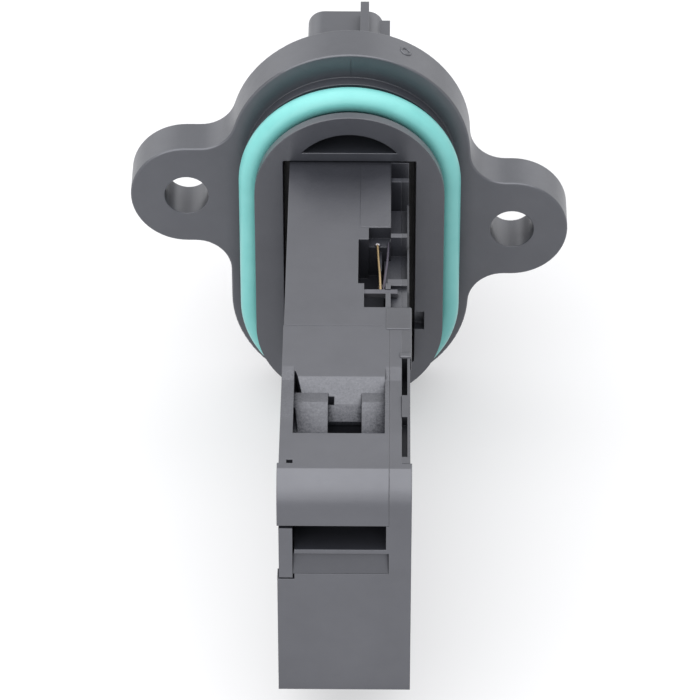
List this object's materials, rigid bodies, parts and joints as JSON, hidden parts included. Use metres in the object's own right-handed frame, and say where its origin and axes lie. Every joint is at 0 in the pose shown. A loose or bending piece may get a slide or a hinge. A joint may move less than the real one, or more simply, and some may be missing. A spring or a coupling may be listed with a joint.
{
  "type": "mass airflow sensor",
  "caption": "Plug-in mass airflow sensor with a two-ear flange, a sealed boss, a flat probe that reaches into the duct and a connector socket on the back.",
  "frame": {"origin": "centre of the flange's seating face, on the boss's centre line", "axes": "-Y is the direction the probe goes into the duct, +Y is towards the connector's mouth, +Z is along the flange's long axis and +X is across it towards the ear that sits lower"},
  "size_m": [0.0548, 0.101, 0.0516],
  "materials": {
    "housing_plastic": "moulded charcoal grey glass-filled plastic, satin",
    "seal_rubber": "smooth teal green seal rubber",
    "probe_plastic": "moulded grey glass-filled plastic, fine satin",
    "cover_plastic": "moulded grey glass-filled plastic, fine satin",
    "lid_plastic": "moulded grey glass-filled plastic, fine satin",
    "bond_silicone": "black silicone sealant, glossy bead",
    "plate_metal": "plain rolled sheet",
    "board_laminate": "green solder mask",
    "tongue_ceramic": "fired off-white ceramic",
    "chip_silicon": "polished silicon",
    "chip_epoxy": "black moulded package",
    "capacitor_ceramic": "tan ceramic",
    "gel_silicone": "clear soft gel",
    "wire_aluminium": "drawn wire",
    "lead_gold": "gold coloured drawn wire",
    "lead_tinned": "dull tinned wire",
    "bar_tinned": "tinned strip",
    "bead_glass": "glossy dark bead",
    "pin_brass": "tinned brass blade"
  },
  "bodies": {
    "root": {"flange_housing": "housing_plastic", "seal_ring": "seal_rubber", "probe_body": "probe_plastic", "channel_cover": "cover_plastic", "electronics_cover": "lid_plastic", "probe_bond": "bond_silicone", "base_plate": "plate_metal", "circuit_board": "board_laminate", "sensor_tongue": "tongue_ceramic", "sensing_chip": "chip_silicon", "control_chip": "chip_epoxy", "chip_capacitors": "capacitor_ceramic", "silicone_gel": "gel_silicone", "bond_wires": "wire_aluminium", "thermistor_lead_1": "lead_gold", "thermistor_lead_2": "lead_tinned", "thermistor_bar": "bar_tinned", "thermistor_bead": "bead_glass", "connector_pin_1": "pin_brass", "connector_pin_2": "pin_brass", "connector_pin_3": "pin_brass", "connector_pin_4": "pin_brass", "connector_pin_5": "pin_brass"}
  },
  "joints": []
}
